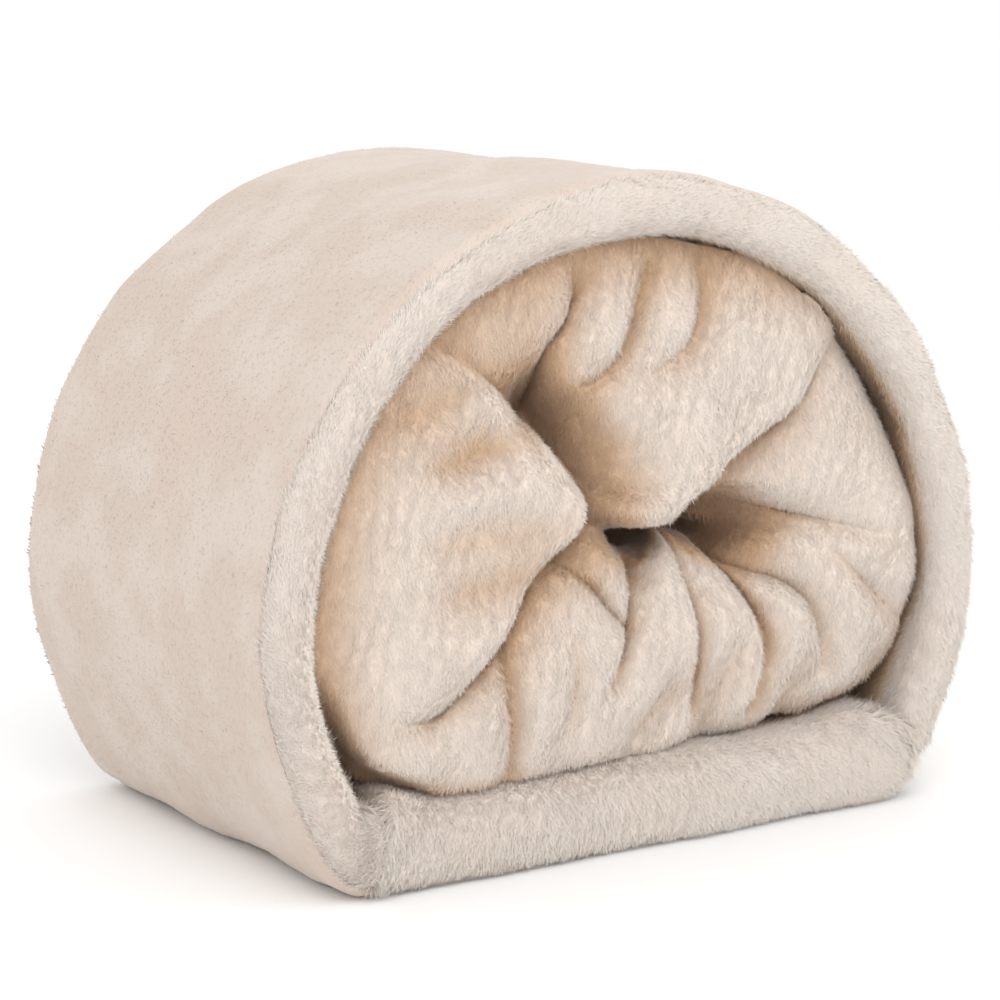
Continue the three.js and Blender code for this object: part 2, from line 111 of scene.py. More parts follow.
# The built cloth is about 0.54 m long, and a shorter length is declared for it. The length is declared
# shorter, so that the area lies in the range that is checked
# Columns of its mesh, as the first and last direction in degrees and how many lie between, and its rows
SLEEVE_COLUMNS = ((-60, 60, 80), (60, 175, 92), (175, 300, 148))
FRONT_ROWS = {"edge": 7, "rise": 46, "mouth": 50, "passage": 12}
BACK_ROWS = {"passage": 6, "mouth": 16, "rise": 12, "edge": 4}
# How round it is where the lining meets the floor pad, and how many halvings find the lining
SLEEVE_CORNER, SLEEVE_RIGHT_CORNER, HALVINGS = 7, 19, 40
SLEEVE_EDGE_Y = 6
FRONT_CLEARANCE = {"wall": 1, "floor": 0.2}
BACK_CLEARANCE = {"wall": 2, "floor": 2}
FRONT_CENTRE = np.array([24.0, 109.0])
FRONT_MOUTH = {"left": 20, "right": 33, "half_height": 5.5, "y": 54}
MIDDLE_CENTRE, MIDDLE_RADIUS = np.array([4.0, 112.0]), 48
BACK_CENTRE = np.array([0.0, 110.0])
BACK_MOUTH = {"radius": 30, "y": 56}
BACK_BULGE = {"contact": 82, "crest": 94, "crest_at": 0.58}
# Back pleats: how many, how deep, how far from the rim they fade, and the painted shade in their hollows
BACK_PLEATS = {"count": 12, "depth": 7, "fade": 0.3, "shade": 0.4}
# How sharply creases that meet keep apart, how round their bottoms are, how much they draw the cloth
# towards the middle, and how far from the mouth that starts and is full
FOLD_BLEND, FOLD_ROUNDING, FOLD_SPREAD = 2.5, 1.6, 0.6
SPREAD_FROM, SPREAD_FULL = 22, 70
FOLDS_START_Y, FOLDS_FULL_Y = 30, 70
# A leaning crease: how fast it falls, how much more so on the side that dips, how full the cloth beside it
# is, the share of the run over which its ends fade, how deep it has to be to lean fully, the factor that
# brings the top of its sideways curve to about 1, and how far its painted shade reaches up the side that lies
# on top
LEAN_FALL, LEAN_FALL_SIDE, LEAN_FULLNESS = 2.1, 0.1, 0.62
LEAN_ENDS, LEAN_DEEP, LEAN_CURVE, LEAN_TOP_SHADE = 0.2, 12, 3.2, 4
# How fast painted shade fades away from a crease or rim, and from a leaning crease, and how it grows
# with depth
SHADE_FADE, LEAN_SHADE_FADE, SHADE_GROWTH = 1.3, 1.9, 0.8
# How much of the way into the mouth its painted shade takes to be full, how thick the pile of the passage
# is near the front mouth and how far in it ends, and how thick it is by the back mouth
MOUTH_SHADE_FULL = 0.8
PASSAGE_PILE, PASSAGE_PILE_END, BACK_PASSAGE_PILE = 0.4, 0.4, 0.5
# Painted shade of the back bulge: where that of its mouth starts, and the strength and reach of the rim's
BACK_MOUTH_SHADE, BACK_RIM_SHADE, BACK_RIM_REACH = 0.3, 0.3, 0.3

# Front bulge by direction from the mouth: degrees from +X towards +Z, the depth at which it leaves the
# lining, the depth of its crest, how far in the crest lies (0 rim, 1 mouth), the painted shade at the rim and
# how far that reaches, and how far round into the mouth the painted shade of the throat starts (0 crest, 1
# mouth)
BULGES = (
    (0, 85, 93, 0.25, 0, 20, 0.3),
    (15, 79, 91, 0.28, 0, 20, 0.3),
    (34, 77, 90, 0.34, 0, 20, 0.3),
    (53, 88, 92, 0.55, 0.2, 24, 0.33),
    (70, 87, 93, 0.74, 0.45, 30, 0.38),
    (90, 85, 95, 0.84, 0.5, 34, 0.42),
    (120, 86, 94, 0.82, 0.5, 36, 0.42),
    (150, 87, 96, 0.70, 0.42, 34, 0.5),
    (180, 89, 99, 0.64, 0.48, 34, 0.3),
    (205, 87, 99, 0.52, 0.6, 24, 0.5),
    (218, 90, 98.5, 0.48, 0.45, 12, 0.78),
    (233, 87, 97.5, 0.50, 0.15, 10, 0.78),
    (257, 83, 95.5, 0.54, 0.1, 10, 0.78),
    (277, 76, 94, 0.58, 0.1, 10, 0.78),
    (300, 73, 93, 0.60, 0.2, 10, 0.78),
    (315, 72, 91, 0.56, 0.4, 14, 0.6),
    (328, 80, 91, 0.46, 0.4, 14, 0.45),
    (340, 85, 92, 0.34, 0.2, 14, 0.35),
    (350, 87, 94, 0.24, 0, 20, 0.3),
)

# Creases of the front bulge: depth at the start, middle and end, the darkest painted shade, the reach at the
# start and end on the left of the run, where the cloth dips under, the reach on its right, where the cloth
# lies on top, how far the cloth dips under, and the run
CREASES = (
    ("left lobe edge", (22, 27, 0), 0.85, (48, 16), 16, 7, ((-50, 173), (-38, 163), (-25, 148), (-18, 137),
     (-18, 126), (-24, 115), (-38, 107), (-46, 98), (-54, 85), (-67, 73), (-82, 61), (-91, 58), (-101, 60),
     (-110, 66))),
    ("upper left lobe edge", (8, 18, 20), 0.75, (18, 28), 12, 5, ((-25, 215), (-25, 204), (-29, 197),
     (-36, 191.5), (-38.5, 185), (-38, 179), (-40, 173), (-46, 169))),
    ("upper left fold", (3, 8, 13), 0.5, (18, 22), 12, 2, ((-88, 196), (-75, 190), (-66, 183), (-50, 173))),
    ("pit between the lobes", (26, 24, 8), 1, (20, 26), 5, 0, ((-44, 174), (-34, 166), (-22, 153),
     (-8, 138))),
    ("top lobe edge", (0, 15, 26), 0.7, (22, 30), 12, 6, ((104, 194), (98, 184), (91, 173), (87, 164),
     (81, 156), (73, 150), (64, 144), (52, 137), (42, 130), (36, 120))),
    ("top fold left", (5, 9, 7), 0.5, (16, 20), 10, 2, ((8, 218), (3.5, 205), (0, 194), (-6, 184),
     (-22, 176))),
    ("top fold right", (4, 7, 3), 0.45, (18, 22), 10, 1, ((31, 218), (31.5, 203), (28, 191), (19, 184),
     (8, 179))),
    ("right upper crease", (1, 9, 22), 0.65, (16, 18), 14, 3, ((128, 104), (98, 111), (74, 117), (52, 120),
     (36, 122))),
    ("right lower crease", (12, 9, 5), 0.5, (14, 14), 9, 2, ((40, 112), (48, 105), (60, 98), (76, 91),
     (86, 81), (92, 66), (94, 54))),
    ("right fold edge", (2, 6, 3), 0.35, (14, 14), 12, 1, ((130, 70), (122, 78), (108, 89), (94, 100))),
    ("left corner", (0, 14, 6), 0.95, (14, 12), 9, 0, ((-143, 80), (-138, 66), (-132, 51), (-123, 40),
     (-111, 33), (-97, 29))),
    ("left lobe dent", (1, 8, 1), 0.5, (18, 18), 16, 0, ((-94, 148), (-80, 153), (-66, 157.5), (-50, 156))),
    ("left lobe valley", (1, 6, 3), 0.3, (16, 16), 18, 0, ((-98, 121), (-77, 124), (-60, 124.5),
     (-36, 125))),
    ("left lobe lower valley", (1, 7, 2), 0.36, (14, 14), 22, 0, ((-96, 102), (-77, 106), (-60, 108),
     (-38, 112))),
    ("left lobe upper valley", (2, 6, 1), 0.3, (14, 14), 16, 0, ((-104, 168), (-92, 170), (-78, 176),
     (-66, 182))),
    ("corner of the mouth", (4, 8, 9), 1, (12, 12), 9, 0, ((-20, 121), (-12, 119.5), (-3, 117), (6, 113))),
    ("right wedge", (24, 18, 3), 0.7, (12, 9), 8, 0, ((28, 120), (42, 119), (58, 116), (78, 113))),
    ("pleat 1", (6, 9, 7), 0.5, (12, 12), 8, 2, ((-48, 98), (-54, 82), (-56, 60), (-58, 36))),
    ("pleat 2", (2, 4, 3), 0.25, (10, 10), 9, 1, ((-28, 82), (-30, 67), (-33, 50))),
    ("pleat 3", (15, 9, 5), 0.7, (10, 9), 7, 3, ((6, 100), (2, 88), (-5, 76), (-12, 64))),
    ("pleat 4", (17, 11, 7), 0.8, (11, 11), 7, 3, ((26, 108), (31, 95), (32, 72), (30, 46))),
    ("pleat 5", (15, 11, 6), 0.85, (13, 13), 8, 3, ((42, 108), (51, 101), (60, 85), (67, 68), (66, 56),
     (61, 42))),
    ("pleat 6", (3, 4, 4), 0.25, (12, 12), 12, 0, ((50, 66), (44, 55), (38, 40))),
    ("pleat 7", (2, 4, 4), 0.25, (14, 14), 12, 0, ((22, 60), (12, 50), (4, 44))),
    ("pleat 8", (2, 4, 4), 0.25, (12, 12), 10, 0, ((84, 58), (80, 47), (76, 36))),
    ("top of pleat 1", (7, 9, 6), 0.45, (9, 8), 8, 3, ((-40, 108), (-28, 104), (-14, 95), (-2, 82))),
)

# Fuller places of the front bulge: x, z, reach in x, reach in z, height
MOUNDS = (
    ("second pleat", -11, 104, 12, 12, 11),
    ("third pleat", 15, 105, 11, 12, 13),
    ("fourth pleat", 31, 109, 8, 11, 11),
    ("left lobe", -60, 110, 34, 46, 4),
    ("tip of the left lobe", -36, 132, 16, 16, 4),
    ("top lobe", 14, 134, 34, 16, 4),
    ("tongue of the top lobe", -1, 125, 15, 10, 12),
)

# Where the cloth is pulled up: x, z, reach in x, reach in z, how far
LIFTS = (
    ("lips of the mouth", 2, 116, 32, 15, 4),
    ("tongue of the top lobe", 9, 122, 14, 8, -5),
    ("fourth pleat", 30, 105, 13, 7.5, 14),
)

QUICK_SHARE, MOST_STRANDS = 0.35, 190_000
BULGE_Y = 58
SLEEVE_WHORL, PADDED_WHORL, TANGLE_SHARE = 0.4, 0.22, 0.8
PATCH_LENGTH = 0.12
SEAM_FLUFF, SEAM_FLUFF_REACH = 0.9, 7
# A strand: the spread of its lean in degrees and of its way in radians, the ranges of its length and
# width, how deep its root sits, the least height of its points, and how much its own slope counts in its
# light. Then how far it may turn from the photograph's camera, how far its cloth may, and how long it is
# once it is turned over
LEAN_SPREAD, WAY_SPREAD = 9, 0.35
LENGTH_RANGE, WIDTH_RANGE = (0.7, 1.25), (0.7, 1.3)
ROOT_DEEP, LEAST_HEIGHT, OWN_SLOPE = 0.3, 0.2, 0.08
STRAND_TURNED, CLOTH_TURNED, TURNED_LENGTH = 0.06, -0.1, 0.6
# Its tone, which varies by a spread and rises to the tip (darker roots and lighter tips, partly the fibre's
# own tone and partly painted shade between the strands and a painted highlight on the tips), and its corners
# in its cell of the UV map
TONE_SPREAD, TONE_RISE = 0.3, 0.7
STRAND_IN_CELL = np.array([[0.15, 0.15], [0.85, 0.15], [0.5, 0.85]])

# Painted shade: the colour that plush is multiplied by where its shade value is half and full, in folds,
# throats and behind rims. Then the grain of the plush, as waves per metre: fine speckles, and streaks that
# are stretched along the height
PAINTED_SHADE_TAN, PAINTED_SHADE_DARK = (0.80, 0.62, 0.45, 1), (0.36, 0.25, 0.175, 1)
SPECKLES, STREAKS, STREAK_STRETCH = 900, 420, (1, 1, 0.45)

# Studio
FLOOR_WHITE, WORLD_LIGHT = 0.96, 1.05


def mix(a, b, t):
    return a + (b - a) * t


def ease(t):
    return t * t * (3 - 2 * t)


def unit(vectors):
    return vectors / np.maximum(np.linalg.norm(vectors, axis=-1, keepdims=True), 1e-9)


class Ripples:
    """Soft uneven waves through space, about `wave` millimetres long, between roughly -1 and 1."""

    def __init__(self, wave, count=18, spread=(0.75, 1.35)):
        lengths = wave * RANDOM.uniform(*spread, (count, 1))
        self.ways = unit(RANDOM.normal(size=(count, 3))) * 2 * math.pi / lengths
        self.starts = RANDOM.uniform(0, 2 * math.pi, count)
        self.height = math.sqrt(2 / count)

    def value(self, places):
        return self.height * np.sin(places @ self.ways.T + self.starts).sum(-1)

    def slope(self, places):
        """Which way the waves rise, as vectors of about length 1."""
        rise = np.cos(places @ self.ways.T + self.starts) @ self.ways
        return rise * self.height / np.linalg.norm(self.ways, axis=1).mean()


def skin(name, places, capped=False, **layers):
    """A mesh of squares over closed rings of places, with each layer's value at every vertex."""
    rings, size = places.shape[:2]
    bm = bmesh.new()
    bmesh.ops.create_grid(bm, x_segments=size, y_segments=rings - 1, size=1)
    floats = [(bm.verts.layers.float.new(key), values) for key, values in layers.items()]
    for vert in bm.verts:
        ring = round((vert.co.y + 1) / 2 * (rings - 1))
        spot = round((vert.co.x + 1) / 2 * size) % size
        for layer, values in floats:
            vert[layer] = values[ring, spot]
        vert.co = places[ring, spot] * MM
    bmesh.ops.remove_doubles(bm, verts=[v for v in bm.verts if v.is_boundary], dist=WELD)
    if capped:
        bmesh.ops.holes_fill(bm, edges=[e for e in bm.edges if e.is_boundary], sides=0)
    bmesh.ops.recalc_face_normals(bm, faces=bm.faces)
    return piece(name, bm)


def piece(name, bm):
    mesh = bpy.data.meshes.new(name)
    bm.to_mesh(mesh)
    bm.free()
    mesh.shade_smooth()
    obj = bpy.data.objects.new(name, mesh)
    bpy.context.collection.objects.link(obj)
    return obj


def read(items, key, width):
    """One value of every item of a mesh, as an array with a row for each."""
    values = np.empty(len(items) * width, np.float32)
    items.foreach_get(key, values)
    return values.reshape(-1, width).astype(float)


def swell(obj, *layers):
    """Pushes a mesh out and in along its normals by (ripples, millimetres) layers."""
    places = read(obj.data.vertices, "co", 3) / MM
    normals = read(obj.data.vertices, "normal", 3)
    push = sum(amount * ripples.value(places) for ripples, amount in layers)
    places += normals * push[:, None]
    places[:, 2] = np.maximum(places[:, 2], 0)
    obj.data.vertices.foreach_set("co", (places * MM).astype(np.float32).ravel())
    obj.data.update()


# The padded arch


def outer_half_width(z):
    below = np.clip((SPRING_Z - z) / SPRING_Z, 0, 1)
    round_part = np.sqrt(np.clip(ARCH_RADIUS**2 - (z - SPRING_Z) ** 2, 0, None))
    return np.where(z < SPRING_Z, ARCH_RADIUS - DRAW_IN * below**DRAW_POWER, round_part)


def side_slope(z):
    below = np.clip((SPRING_Z - z) / SPRING_Z, 0, 1)
    return DRAW_IN * DRAW_POWER * below ** (DRAW_POWER - 1) / SPRING_Z


def inner_half_width(z, clearance):
    round_part = np.sqrt(np.clip((ARCH_RADIUS - WALL - clearance) ** 2 - (z - SPRING_Z) ** 2, 0, None))
    straight = outer_half_width(z) - (WALL + clearance) * np.hypot(1, side_slope(z))
    return np.where(z < SPRING_Z, straight, round_part)


def curve(start, knee, end, count):
    """Points of a quadratic curve, without its end."""
    t = np.linspace(0, 1, count, endpoint=False)[:, None]
    start, knee, end = (np.array(p, float) for p in (start, knee, end))
    return start * (1 - t) ** 2 + 2 * knee * t * (1 - t) + end * t * t


def side_stations(z, side):
    """The wall's side at heights z, on the left (-1) or the right (1): inner and outer [x, z]."""
    slope = side_slope(z)
    length = np.hypot(1, slope)
    outer = np.stack([outer_half_width(z), z], -1)
    inner = np.stack([outer[:, 0] - WALL / length, z + WALL * slope / length], -1)
    return inner * (side, 1), outer * (side, 1)


def foot_stations(seam, side):
    """From a corner seam up to the wall's side."""
    top_inner, top_outer = (p[0] for p in side_stations(np.array([float(FOOT_Z)]), side))
    knee = (mix(seam["inner"][0], top_inner[0], FOOT_KNEE), seam["inner"][1])
    return (curve(seam["inner"], knee, top_inner, FOOT_STEPS),
            curve(seam["outer"], seam["knee"], top_outer, FOOT_STEPS))


def wall_stations():
    """Inner and outer [x, z] of the wall from the left corner seam over the arch to the right one."""
    sides = np.arange(FOOT_Z, SPRING_Z, WALL_STEP, dtype=float)
    angles = np.linspace(math.pi, 0, round(math.pi * ARCH_RADIUS / WALL_STEP))
    around = np.stack([np.cos(angles), np.sin(angles)], -1)
    spring = np.array([0, SPRING_Z])
    arch = (spring + around * (ARCH_RADIUS - WALL), spring + around * ARCH_RADIUS)
    left = [foot_stations(LEFT_SEAM, -1), side_stations(sides, -1)]
    right = [foot_stations(RIGHT_SEAM, 1), side_stations(sides, 1)]
    parts = [*left, arch, *[(i[::-1], o[::-1]) for i, o in right[::-1]]]
    return np.concatenate([p[0] for p in parts]), np.concatenate([p[1] for p in parts])


def along(points):
    """How far each station lies along the row, in millimetres."""
    return np.concatenate([[0], np.cumsum(np.linalg.norm(np.diff(points, axis=0), axis=1))])


def pinched(section, run, middle):
    """A section drawn in at both ends of the bar, where the corner seams pull the padding flat."""
    from_end = np.minimum(run, run[-1] - run)
    pull = PINCH_DEEP * np.clip(1 - from_end / PINCH_REACH, 0, 1) ** PINCH_FADE
    y, share = section[..., 0], section[..., 1]
    y = y * (1 - pull / (DEPTH / 2))[:, None]
    share = mix(share, middle, (pull / PINCH_DEEP)[:, None] * PINCH_FLAT)
    return np.stack([y, share], -1)


def bar(name, inner, outer, section, shade_start, shade_along=1, middle=0.5):
    """A padded bar: a closed section of [y, share] at each station, from its inside to its outside. Its
    inside is painted darker behind the rims, as painted shade."""
    inside = section[..., 1] < INSIDE_SHARE
    depth = np.abs(section[..., 0])
    # Painted shade: the inside is darkened deeper behind the rims, where shade would fall
    shade = ease(np.clip((np.reshape(shade_start, (-1, 1)) - depth) / SHADE_REACH, 0, 1))
    shade = shade * inside * np.reshape(shade_along, (-1, 1))
    section = pinched(section, along(outer), middle)
    xz = inner[:, None] + (outer - inner)[:, None] * section[..., 1:]
    places = np.stack([xz[..., 0], section[..., 0], xz[..., 1]], -1)
    return skin(name, places, capped=True, pile=np.ones_like(shade), shade=shade)


def roll(centre, radius, start, end, count):
    """Points of a roll in [y, height]. Its measures may differ from station to station."""
    t = np.linspace(0, 1, count)
    y, height, radius, start, end = (np.asarray(v, float)[..., None] for v in (*centre, radius, start, end))
    turn = np.radians(mix(start, end, t))
    return np.stack([y - radius * np.cos(turn), height + radius * np.sin(turn)], -1)


def run_between(start, end, step):
    """Points between the ends of two rows, no further than a step apart."""
    count = max(int(np.linalg.norm(end - start, axis=-1).max() / step), 1)
    t = np.linspace(0, 1, count + 1)[1:-1, None]
    return start[..., None, :] + (end - start)[..., None, :] * t


def looped(half, step):
    """A half section and its mirror image behind, with steps along the straight runs between them."""
    mirror = half[..., ::-1, :] * (-1, 1)
    return np.concatenate([
        half, run_between(half[..., -1, :], mirror[..., 0, :], step),
        mirror, run_between(mirror[..., -1, :], half[..., 0, :], step),
    ], -2)


def over_wall(section):
    return section * (1, 1 / WALL)


# The gathered sleeve


def sleeve_reach(centre, angles, clearance, right_corner=SLEEVE_CORNER):
    """Distance from a centre to the sleeve's outer side, just inside the lining and the floor pad."""
    c, s = np.cos(angles), np.sin(angles)
    near, far = np.zeros_like(angles), np.full_like(angles, WIDTH)
    for _ in range(HALVINGS):
        middle = (near + far) / 2
        x, z = centre[0] + middle * c, centre[1] + middle * s
        inside = np.abs(x) < inner_half_width(z, clearance["wall"])
        inside &= z < HEIGHT - WALL - clearance["wall"]
        near, far = np.where(inside, middle, near), np.where(inside, far, middle)
    drop = centre[1] - FLOOR_TOP - clearance["floor"]
    out_of_reach = WIDTH * 9
    floor = np.where(s < -TINY, drop / np.maximum(-s, TINY), out_of_reach)
    least = np.minimum(near, floor)
    corner = mix(SLEEVE_CORNER, right_corner, ease(np.clip(2 * c, 0, 1)))
    soft = np.exp((least - near) / corner) + np.exp((least - floor) / corner)
    return least - corner * np.log(soft)


def bulge_at(angles):
    """The front bulge's measures in each direction, eased between the rows of its table."""
    table = np.array([*BULGES, (BULGES[0][0] + 360, *BULGES[0][1:])], float)
    degrees = np.degrees(angles) % 360
    row = np.clip(np.searchsorted(table[:, 0], degrees, side="right") - 1, 0, len(BULGES) - 1)
    t = ease((degrees - table[row, 0]) / (table[row + 1, 0] - table[row, 0]))
    return [mix(table[row, k], table[row + 1, k], t) for k in range(1, 7)]


def mouth_radius(angles):
    a = np.where(np.cos(angles) < 0, FRONT_MOUTH["left"], FRONT_MOUTH["right"])
    b = FRONT_MOUTH["half_height"]
    return a * b / np.hypot(b * np.cos(angles), a * np.sin(angles))


def soft_run(run):
    """A run of points with its corners cut three times."""
    points = np.array(run, float)
    for _ in range(3):
        a, b = points[:-1], points[1:]
        cut = np.stack([mix(a, b, 0.25), mix(a, b, 0.75)], 1).reshape(-1, 2)
        points = np.concatenate([points[:1], cut, points[-1:]])
    return points


def nearest_on_run(points, run):
    """Each point's distance from a run, its side (1 left, -1 right), its share of the way, and the
    direction towards the run."""
    steps = np.linalg.norm(np.diff(run, axis=0), axis=1)
    passed = np.concatenate([[0], np.cumsum(steps)])
    best = {"distance": np.full(points.shape[:-1], np.inf), "side": 0, "share": 0, "back": 0}
    for i, step in enumerate(steps):
        way = (run[i + 1] - run[i]) / step
        t = np.clip((points - run[i]) @ way, 0, step)
        apart = points - run[i] - t[..., None] * way
        distance = np.linalg.norm(apart, axis=-1)
        side = way[0] * (points[..., 1] - run[i, 1]) - way[1] * (points[..., 0] - run[i, 0])
        nearer = distance < best["distance"] - 1e-9
        length = np.maximum(distance, TINY)
        for key, value in (("distance", distance), ("side", side / length),
                           ("share", (passed[i] + t) / passed[-1])):
            best[key] = np.where(nearer, value, best[key])
        best["back"] = np.where(nearer[..., None], -apart / length[..., None], best["back"])
    return best["distance"], np.clip(best["side"], -1, 1), best["share"], best["back"]


def heaped(points, heaps):
    """The sum of soft round heaps at [x, z]."""
    return sum(height * np.exp(-(((points[..., 0] - x) / rx) ** 2) - ((points[..., 1] - z) / rz) ** 2)
               for _, x, z, rx, rz, height in heaps)


def creased(points):
    """How deep the creases push the cloth in at [x, z], how far they shift it sideways, and the painted shade
    that darkens the cloth in and beside them.
    """
    total = np.zeros(points.shape[:-1])
    shift = np.zeros(points.shape)
    light = np.ones(points.shape[:-1])
    for _, (start, middle, end), darkest, dips, top, lean, run in CREASES:
        distance, side, share, back = nearest_on_run(points, soft_run(run))
        deep = np.clip(start * (1 - share) * (1 - 2 * share) + 4 * middle * share * (1 - share)
                       + end * share * (2 * share - 1), 0, None)
        reach = mix(top, mix(*dips, ease(share)), 0.5 + 0.5 * side)
        away = np.clip((np.hypot(distance, FOLD_ROUNDING) - FOLD_ROUNDING) / reach, 0, 1)
        steep = LEAN_FALL + LEAN_FALL_SIDE * side
        fall = 1 - (1 - (1 - away) ** steep) ** LEAN_FULLNESS if lean else ease(1 - away)
        total += (deep * fall) ** FOLD_BLEND
        ends = ease(np.clip(np.minimum(share, 1 - share) / LEAN_ENDS, 0, 1))
        under = np.clip(side, 0, 1) * lean * ends * LEAN_CURVE * np.sqrt(away) * (1 - away) ** 1.5
        shift += (under * np.clip(deep, 0, LEAN_DEEP) / LEAN_DEEP)[..., None] * back
        # Painted shade: each crease darkens the colour along it, fading away to each side
        top_shade = min(top, LEAN_TOP_SHADE) if lean else top
        shade_reach = mix(top_shade, mix(*dips, ease(share)), 0.5 + 0.5 * side)
        strength = darkest * np.clip(deep / max(start, middle, end), 0, 1) ** SHADE_GROWTH
        fade = LEAN_SHADE_FADE if lean else SHADE_FADE
        light *= 1 - strength * np.clip(1 - distance / shade_reach, 0, 1) ** fade
    raised = heaped(points, MOUNDS)
    shift[..., 1] += heaped(points, LIFTS)
    return total ** (1 / FOLD_BLEND) - raised, shift, 1 - light


def front_rows(angles):
    """Rows of the sleeve's front half, from its edge under the lining over the bulge into the mouth.
    Each is its centre, radius, y, the way out of the cloth across and along the tunnel, how thick its
    pile grows, and its painted shade, under the rim and in the throat."""
    reach = sleeve_reach(FRONT_CENTRE, angles, FRONT_CLEARANCE, SLEEVE_RIGHT_CORNER)
    mouth = mouth_radius(angles)
    contact, crest, crest_at, rim_shade, shade_reach, shade_from = bulge_at(angles)
    rows = [(FRONT_CENTRE, reach, -mix(SLEEVE_EDGE_Y, contact, t), 1, 0, 0, 1)
            for t in np.linspace(0, 1, FRONT_ROWS["edge"], endpoint=False)]
    for turn in np.linspace(0, math.pi / 2, FRONT_ROWS["rise"], endpoint=False):
        share = crest_at * (1 - math.cos(turn))
        y = -mix(contact, crest, math.sin(turn))
        radius = mix(reach, mouth, share)
        # Painted shade under the rim, fading away from it
        shade = rim_shade * np.clip(1 - (reach - radius) / shade_reach, 0, 1) ** SHADE_FADE
        rows.append((FRONT_CENTRE, radius, y, math.cos(turn), -math.sin(turn), 1, shade))
    for turn in np.linspace(0, math.pi / 2, FRONT_ROWS["mouth"], endpoint=False):
        share = mix(crest_at, 1, math.sin(turn))
        y = -mix(FRONT_MOUTH["y"], crest, math.cos(turn))
        # Painted shade of the throat, darker deeper into the mouth
        shade_run = (1 - shade_from) * MOUTH_SHADE_FULL
        shade = ease(np.clip((turn / (math.pi / 2) - shade_from) / shade_run, 0, 1))
        rows.append((FRONT_CENTRE, mix(reach, mouth, share), y, -math.sin(turn), -math.cos(turn), 1, shade))
    for t in np.linspace(0, 1, FRONT_ROWS["passage"]):
        centre = mix(FRONT_CENTRE, MIDDLE_CENTRE, ease(t))
        y = np.full_like(angles, -mix(FRONT_MOUTH["y"], 0, t))
        grows = PASSAGE_PILE if t < PASSAGE_PILE_END else 0
        rows.append((centre, mix(mouth, MIDDLE_RADIUS, ease(t)), y, -1, 0, grows, 1))
    return rows


def back_rows(angles):
    """Rows of the sleeve's back half, from the passage over the back bulge to its edge."""
    contact, crest, crest_at = (BACK_BULGE[k] for k in ("contact", "crest", "crest_at"))
    reach = sleeve_reach(BACK_CENTRE, angles, BACK_CLEARANCE)
    mouth = np.full_like(angles, BACK_MOUTH["radius"])
    rows = []
    for t in np.linspace(0, 1, BACK_ROWS["passage"], endpoint=False)[1:]:
        centre, radius = mix(MIDDLE_CENTRE, BACK_CENTRE, ease(t)), mix(MIDDLE_RADIUS, mouth, ease(t))
        rows.append((centre, radius, BACK_MOUTH["y"] * t, -1, 0, BACK_PASSAGE_PILE * t, 1))
    for turn in np.linspace(math.pi / 2, 0, BACK_ROWS["mouth"], endpoint=False):
        share = mix(crest_at, 1, math.sin(turn))
        y = mix(BACK_MOUTH["y"], crest, math.cos(turn))
        way_in = turn / (math.pi / 2)
        # Painted shade of the back throat, darker deeper into the mouth
        shade = ease(np.clip((way_in - BACK_MOUTH_SHADE) / (1 - BACK_MOUTH_SHADE), 0, 1))
        rows.append((BACK_CENTRE, mix(reach, mouth, share), y, -math.sin(turn), math.cos(turn), 1, shade))
    for turn in np.linspace(math.pi / 2, 0, BACK_ROWS["rise"], endpoint=False):
        share = crest_at * (1 - math.cos(turn))
        y = mix(contact, crest, math.sin(turn))
        # Painted shade under the back rim
        shade = BACK_RIM_SHADE * np.clip(1 - share / BACK_RIM_REACH, 0, 1)
        rows.append((BACK_CENTRE, mix(reach, mouth, share), y, math.cos(turn), math.sin(turn), 1, shade))
    for t in np.linspace(0, 1, BACK_ROWS["edge"]):
        rows.append((BACK_CENTRE, reach, mix(contact, SLEEVE_EDGE_Y, t), 1, 0, 0, 1))
    return rows


def laid_rows(rows, angles, fold):
    """Places, pile weights and painted shade of rows. fold(flat, y, angles) pushes the cloth in and aside,
    and gives the painted shade of its creases.
    """
    ways = np.stack([np.cos(angles), np.sin(angles)], -1)
    full = np.ones_like(angles)
    flat = np.stack([centre + ways * (radius * full)[:, None] for centre, radius, *_ in rows])
    y, out, pile, row_shade = (np.stack([row[k] * full for row in rows]) for k in (2, 3, 5, 6))
    push, shift, shade = fold(flat, y, angles)
    from_mouth = np.linalg.norm(flat - FRONT_CENTRE, axis=-1)
    loosened = np.clip((from_mouth - SPREAD_FROM) / (SPREAD_FULL - SPREAD_FROM), 0, 1)
    loose = np.where(out < 0, ease(loosened), 1)
    spread = FOLD_SPREAD * out * loose
    flat = flat + shift - (spread * push)[..., None] * ways
    y = y - np.sign(y) * push / np.hypot(1, spread)
    places = np.stack([flat[..., 0], y, flat[..., 1]], -1)
    return places, pile, 1 - (1 - shade) * (1 - row_shade)


def front_fold(flat, y, _):
    push, shift, shade = creased(flat)
    weight = np.clip((-y - FOLDS_START_Y) / (FOLDS_FULL_Y - FOLDS_START_Y), 0, 1)
    return push * weight, shift * weight[..., None], shade * weight


def back_fold(flat, y, angles):
    lift = np.clip(y / BACK_MOUTH["y"], 0, 1)
    from_rim = np.linalg.norm(flat - BACK_CENTRE, axis=-1) / sleeve_reach(BACK_CENTRE, angles, BACK_CLEARANCE)
    waves = np.cos(BACK_PLEATS["count"] * angles + np.sin(3 * angles)) * 0.5 + 0.5
    deep = waves**2 * lift * ease(np.clip((1 - from_rim) / BACK_PLEATS["fade"], 0, 1))
    # The pleats' hollows get painted shade
    return BACK_PLEATS["depth"] * deep, 0 * flat, BACK_PLEATS["shade"] * deep


# The pile


def brushed(places, normals, flow, whorls, tangle):
    """Which way strands lie along the cloth: a flow, turned by whorls and by the tangle near by."""
    way = flow(places) + whorls[1] * whorls[0].slope(places) + tangle[1] * tangle[0].slope(places)
    return unit(way - normals * (way * normals).sum(1, keepdims=True))


